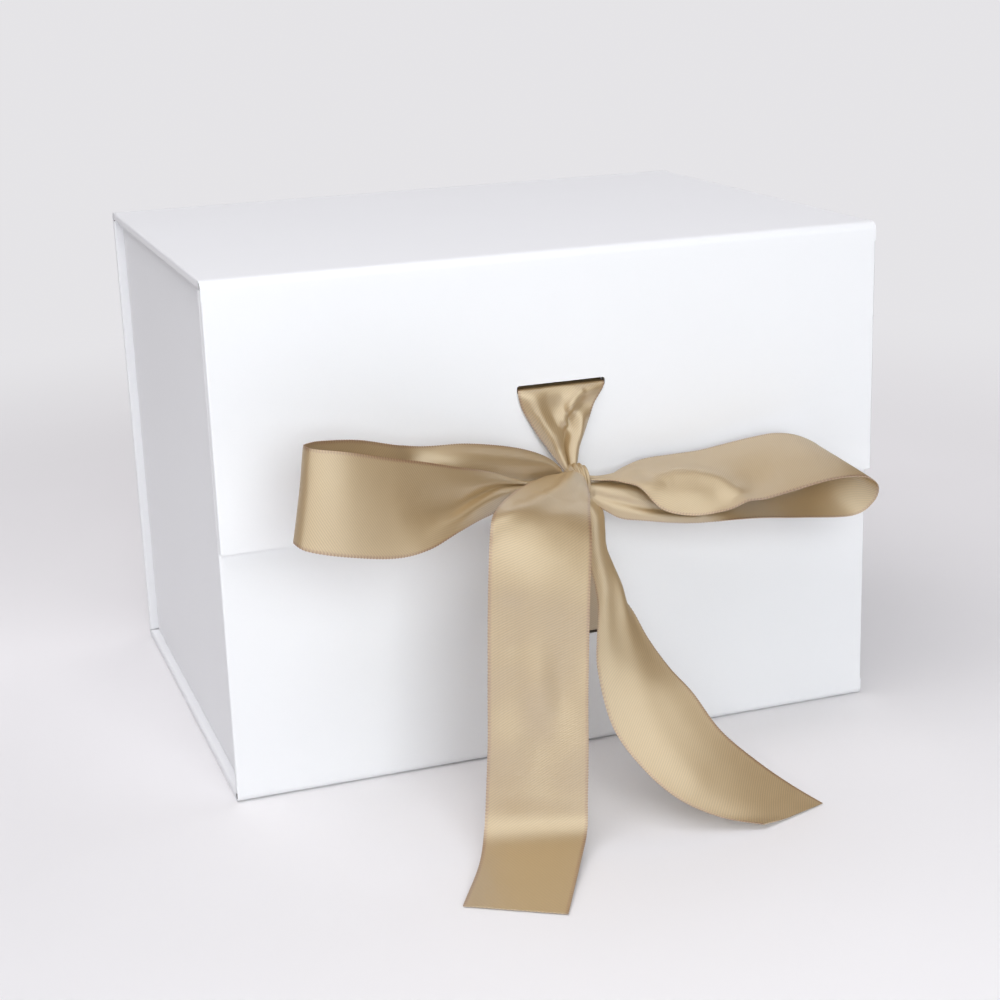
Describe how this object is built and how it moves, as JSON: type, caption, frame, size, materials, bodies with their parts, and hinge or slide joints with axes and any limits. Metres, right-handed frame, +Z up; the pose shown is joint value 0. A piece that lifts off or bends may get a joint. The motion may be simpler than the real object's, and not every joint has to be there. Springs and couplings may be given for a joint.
{
  "type": "magnetic gift box",
  "caption": "Folding gift box of paper-wrapped board with a hinged lid, a magnetic front flap and a satin ribbon tied in a bow.",
  "frame": {"origin": "on the table, under the middle of the box's base", "axes": "+X to the right as seen from the front, +Y from the bow to the back, +Z up"},
  "size_m": [0.2, 0.2461, 0.15],
  "materials": {
    "white_paper": "matt white art paper with a faint texture",
    "lining_paper": "plain matt white paper",
    "greyboard": "raw grey board",
    "satin_ribbon": "champagne gold polyester satin",
    "magnet": "nickel plated",
    "tape": "double-sided adhesive tape"
  },
  "bodies": {
    "box": {"base_board": "greyboard", "base_outer_paper": "white_paper", "base_liner": "lining_paper", "front_board": "greyboard", "front_outer_paper": "white_paper", "front_liner": "lining_paper", "front_magnet_left": "magnet", "front_magnet_right": "magnet", "back_board": "greyboard", "back_outer_paper": "white_paper", "back_liner": "lining_paper", "left_side_board": "greyboard", "left_side_outer_paper": "white_paper", "left_side_liner": "lining_paper", "right_side_board": "greyboard", "right_side_outer_paper": "white_paper", "right_side_liner": "lining_paper", "base_front_crease": "white_paper", "base_back_crease": "white_paper", "lid_back_crease": "white_paper", "left_front_tab": "lining_paper", "left_front_tape": "tape", "left_back_tab": "lining_paper", "left_back_tape": "tape", "right_front_tab": "lining_paper", "right_front_tape": "tape", "right_back_tab": "lining_paper", "right_back_tape": "tape", "ribbon_inner_run": "satin_ribbon"},
    "lid": {"lid_board": "greyboard", "lid_outer_paper": "white_paper", "lid_liner": "lining_paper", "lid_flap_crease": "white_paper"},
    "flap": {"flap_board": "greyboard", "flap_outer_paper": "white_paper", "flap_liner": "lining_paper", "flap_magnet_left": "magnet", "flap_magnet_right": "magnet"},
    "bow": {"ribbon_upper_neck": "satin_ribbon", "ribbon_lower_neck": "satin_ribbon", "ribbon_knot": "satin_ribbon", "ribbon_left_loop": "satin_ribbon", "ribbon_right_loop": "satin_ribbon"},
    "left_tail": {"ribbon_left_tail": "satin_ribbon"},
    "right_tail": {"ribbon_right_tail": "satin_ribbon"}
  },
  "joints": [
    {"name": "lid_hinge", "type": "hinge", "parent": "box", "child": "lid", "pos_m": [0, 0.07375, 0.14875], "axis": [-1, 0, 0], "range_deg": [0, 180], "deforming": ["lid_back_crease"]},
    {"name": "flap_hinge", "type": "hinge", "parent": "lid", "child": "flap", "pos_m": [0, -0.07685, 0.14875], "axis": [-1, 0, 0], "range_deg": [0, 120], "deforming": ["lid_flap_crease"]},
    {"name": "ribbon_pull", "type": "slide", "parent": "flap", "child": "bow", "axis": [0, -1, 0], "range_m": [0, 0.04]},
    {"name": "left_tail_swing", "type": "hinge", "parent": "bow", "child": "left_tail", "pos_m": [0, -0.0876, 0.0856], "axis": [-1, 0, 0], "range_deg": [0, 25]},
    {"name": "right_tail_swing", "type": "hinge", "parent": "bow", "child": "right_tail", "pos_m": [0, -0.0876, 0.0856], "axis": [-1, 0, 0], "range_deg": [0, 25]}
  ]
}
